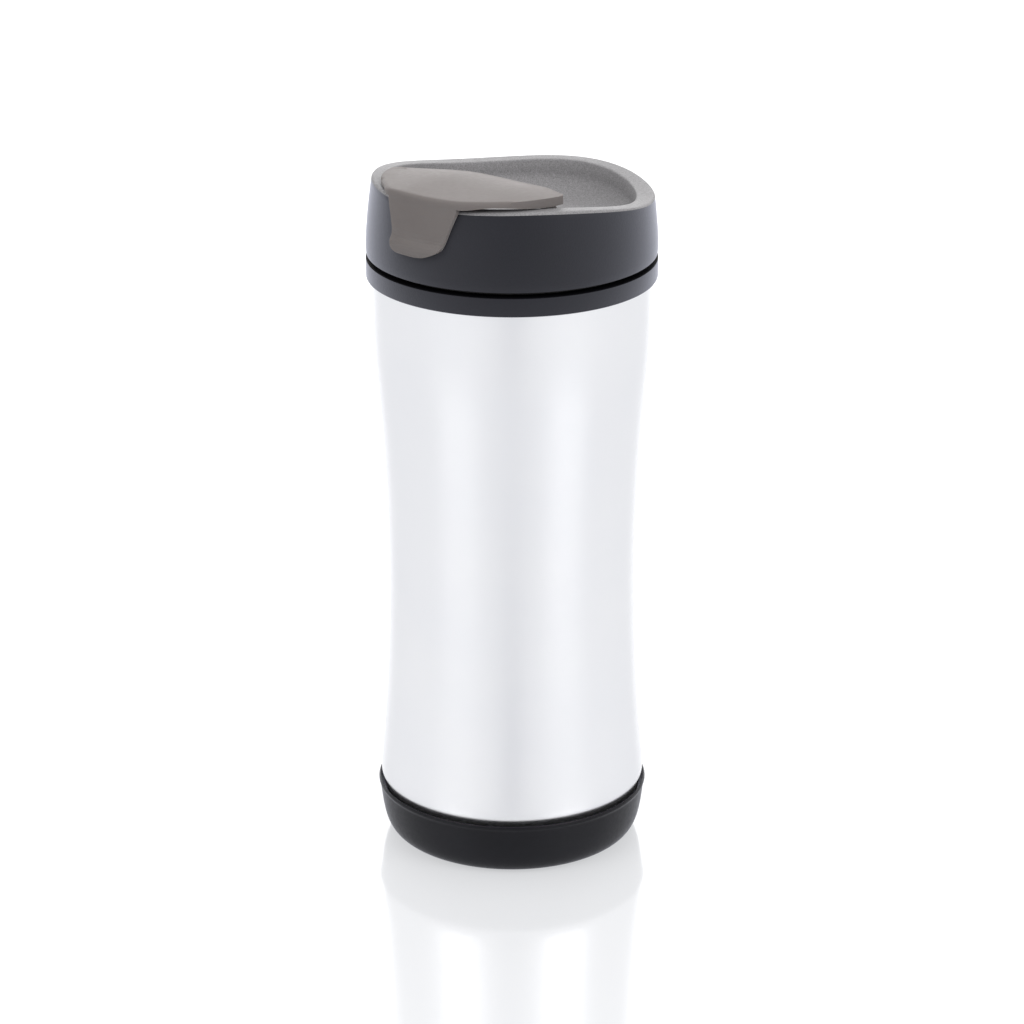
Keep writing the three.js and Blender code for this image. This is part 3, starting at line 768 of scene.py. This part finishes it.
def hang_tab(shape):
    """Draws the tab down from the plate's front underside, one station at a time."""
    faces = [f for f in shape.faces if f.normal.z < -0.9
             and abs(f.calc_center_median().x) < TAB_HALF * MM
             and -f.calc_center_median().y > (cap_front(f.calc_center_median().x / MM) - 2) * MM]
    for height, outer, left, right in TAB_STATIONS:
        drawn = bmesh.ops.extrude_face_region(shape, geom=faces)["geom"]
        faces = [g for g in drawn if isinstance(g, bmesh.types.BMFace)]
        verts = [g for g in drawn if isinstance(g, bmesh.types.BMVert)]
        radii = [Vector((v.co.x, v.co.y)).length for v in verts]
        first, last = (end(v.co.x for v in verts) for end in (min, max))
        middle = (min(radii) + max(radii)) / 2
        inner = lid_radius(height) + GAP + 0.05
        for vert, radius in zip(verts, radii):
            x = left + (right - left) * (vert.co.x - first) / (last - first)
            r = outer if radius > middle else inner
            vert.co = Vector((x, -math.sqrt(r * r - x * x), height)) * MM
    return shape


def soften_cap(shape):
    """Rounds the upper front edge by more than the others."""
    def sharp(edge):
        return len(edge.link_faces) == 2 and edge.calc_face_angle(0) > math.radians(50)
    def on_top(edge):
        return all(v.co.z > (cap_top_z(v.co.x / MM, -v.co.y / MM) - 0.05) * MM
                   for v in edge.verts)
    def in_front(edge):
        return all(abs(v.co.x) < 23 * MM and v.co.y < -27 * MM for v in edge.verts)
    upper = [e for e in shape.edges if sharp(e) and on_top(e) and in_front(e)]
    bmesh.ops.bevel(shape, geom=upper, offset=1.1 * MM, segments=5, profile=0.5,
                    affect="EDGES", material=-1, clamp_overlap=True)
    lower = [e for e in shape.edges if sharp(e)]
    bmesh.ops.bevel(shape, geom=lower, offset=0.3 * MM, segments=2, profile=0.5,
                    affect="EDGES", material=-1, clamp_overlap=True)


def flip_cap():
    shape = hang_tab(cap_plate())
    soften_cap(shape)
    cap = as_object("flip_cap_grey", shape, CAP_GREY)
    placed(cap, "flip_cap", "flip_cap", sharp=42)


def cap_lugs():
    """The two hinge eyes and the two stopper pegs under the cap."""
    for side, name in ((1, "right"), (-1, "left")):
        low, high = sorted((side * LUG_LOW_X, side * LUG_HIGH_X))
        shape = on_hinge(bar(LUG_R, 0, high - low, 48, edge=0.25), low)
        web = bmesh.ops.create_cube(shape, size=MM)["verts"]
        bmesh.ops.scale(shape, vec=(2.3, 3.2, LUG_TOP_Z - HINGE.z), verts=web)
        middle = Vector(((low + high) / 2, HINGE.y - 0.6, (LUG_TOP_Z + HINGE.z) / 2)) * MM
        bmesh.ops.translate(shape, vec=middle, verts=web)
        lug = as_object(f"cap_lug_{name}", shape, CAP_GREY)
        placed(lug, "flip_cap", "flip_cap")
    for name, radius, y, low in (("spout", 1.5, SPOUT_Y, 190.6), ("vent", 0.8, VENT_Y, 192.4)):
        peg = as_object(f"cap_peg_{name}", stretched(bar(radius, low, 195.6), 1, 1, y), CAP_GREY)
        placed(peg, "flip_cap", "flip_cap")


def stopper():
    low, top = STOPPER_LOW.z, STOPPER_HIGH.z
    flange, neck, hole = STOPPER_HIGH.x, 6.1, 1.8
    deck = DECK_Z + GAP
    shape = spun(softened([
        (hole, deck + 0.01), (0.9, deck - 0.4), (0.9, low), (neck * 0.78, low, 0.5),
        (neck, deck, 0.15), (flange, deck, 0.4), (flange, top, 0.4), (hole, top, 0.2),
    ]), 96)
    rubber = as_object("spout_stopper_rubber", stretched(shape, 1, 4.5 / 7.5, SPOUT_Y), SILICONE)
    placed(rubber, "flip_cap", "spout_stopper")


def vent_pad():
    shape = bar(VENT_HIGH.x, VENT_LOW.z, VENT_HIGH.z, 40, edge=0.3)
    pad = as_object("vent_pad_rubber", stretched(shape, 1, 1, VENT_Y), SILICONE)
    placed(pad, "flip_cap", "vent_seal")


def hinge_pins():
    length = PIN_HIGH.x - PIN_LOW.x
    for name, start in (("right", PIN_LOW.x), ("left", -PIN_HIGH.x)):
        shape = on_hinge(bar(PIN_R, 0, length, 32, edge=0.2), start)
        pin = as_object(f"pin_{name}_steel", shape, PIN_STEEL)
        placed(pin, "flip_cap", f"hinge_pin_{name}")


def hidden_seals():
    """The seals that no view reaches keep their CAD shape."""
    for node in ("collar_seal", "base_seal", "spout_seal"):
        frame["nodes"][node].data.materials.clear()
        frame["nodes"][node].data.materials.append(SILICONE)


for make in (steel_shell, collar, liner, base, foot, gasket, lid, plug, flip_cap, cap_lugs,
             stopper, vent_pad, hinge_pins, hidden_seals):
    make()


# ---- studio -----------------------------------------------------------------

AZIMUTH = math.radians(38.4)
PITCH = math.radians(20.69)
CAMERA_AWAY = 1.019            # from the mug's axis, level, in metres
CAMERA_HEIGHT = 0.4809
LENS = 136.05


def towards(azimuth, away, height):
    """A point at an azimuth round the mug: 0 is straight in front of the drinking side."""
    return Vector((away * math.sin(azimuth), -away * math.cos(azimuth), height))


def camera():
    data = bpy.data.cameras.new("camera")
    data.lens = LENS
    data.clip_start, data.clip_end = 0.05, 50
    view = bpy.data.objects.new("camera", data)
    view.location = towards(AZIMUTH, CAMERA_AWAY, CAMERA_HEIGHT)
    view.rotation_euler = (math.pi / 2 - PITCH, 0, AZIMUTH)
    bpy.context.scene.collection.objects.link(view)
    bpy.context.scene.camera = view


def softbox(name, azimuth, away, height, size, radiance, aim=0.1):
    """A soft light of this size and brightness, turned to the mug."""
    data = bpy.data.lights.new(name, "AREA")
    data.shape = "RECTANGLE"
    data.size, data.size_y = size
    data.energy = math.pi * size[0] * size[1] * radiance
    light = bpy.data.objects.new(name, data)
    light.location = towards(math.radians(azimuth), away, height)
    direction = Vector((0, 0, aim)) - light.location
    light.rotation_euler = direction.to_track_quat("-Z", "Y").to_euler()
    bpy.context.scene.collection.objects.link(light)


def floor():
    """A pale glossy table top, lit a little from below."""
    shape = bmesh.new()
    bmesh.ops.create_grid(shape, x_segments=1, y_segments=1, size=6)
    finish = Finish("studio_floor", (0.26, 0.262, 0.268), 0.1)
    finish.rough(finish.noise(3, 2), 0.09, 0.12)
    finish.shader.inputs["Emission Color"].default_value = (0.97, 0.98, 1.0, 1)
    finish.shader.inputs["Emission Strength"].default_value = 0.55
    as_object("studio_floor", shape, finish.material)


def card():
    """A tall dark card behind the camera, which the steel shows as a soft darker line."""
    shape = bmesh.new()
    bmesh.ops.create_grid(shape, x_segments=1, y_segments=1, size=1)
    bmesh.ops.scale(shape, vec=(0.24, 0.55, 1), verts=shape.verts)
    finish = Finish("dark_card", (0.05, 0.052, 0.08), 0.8)
    finish.tint(finish.noise(5, 2), (0.045, 0.047, 0.074), (0.055, 0.057, 0.086))
    thing = as_object("dark_card", shape, finish.material)
    thing.location = towards(AZIMUTH, 1.35, 0.6)
    thing.rotation_euler = (math.pi / 2, 0, AZIMUTH)


def world():
    sky = bpy.data.worlds.new("studio")
    sky.use_nodes = True
    sky.node_tree.nodes["Background"].inputs["Color"].default_value = (1, 1, 1, 1)
    sky.node_tree.nodes["Background"].inputs["Strength"].default_value = 0.7
    bpy.context.scene.world = sky


def studio():
    world()
    floor()
    card()
    back = math.degrees(AZIMUTH) + 180
    softbox("back_wall", back, 2.3, 1.4, (2.7, 2.6), 2.2, aim=1.4)
    softbox("overhead", back, 0.3, 1.7, (1.0, 1.0), 2.0)
    softbox("left_fill", back + 130, 1.2, 0.9, (0.8, 0.8), 3.2, aim=0.18)
    softbox("right_fill", back - 130, 1.2, 0.9, (0.8, 0.8), 4.0, aim=0.18)


camera()
studio()
bpy.context.scene.view_settings.view_transform = "Standard"
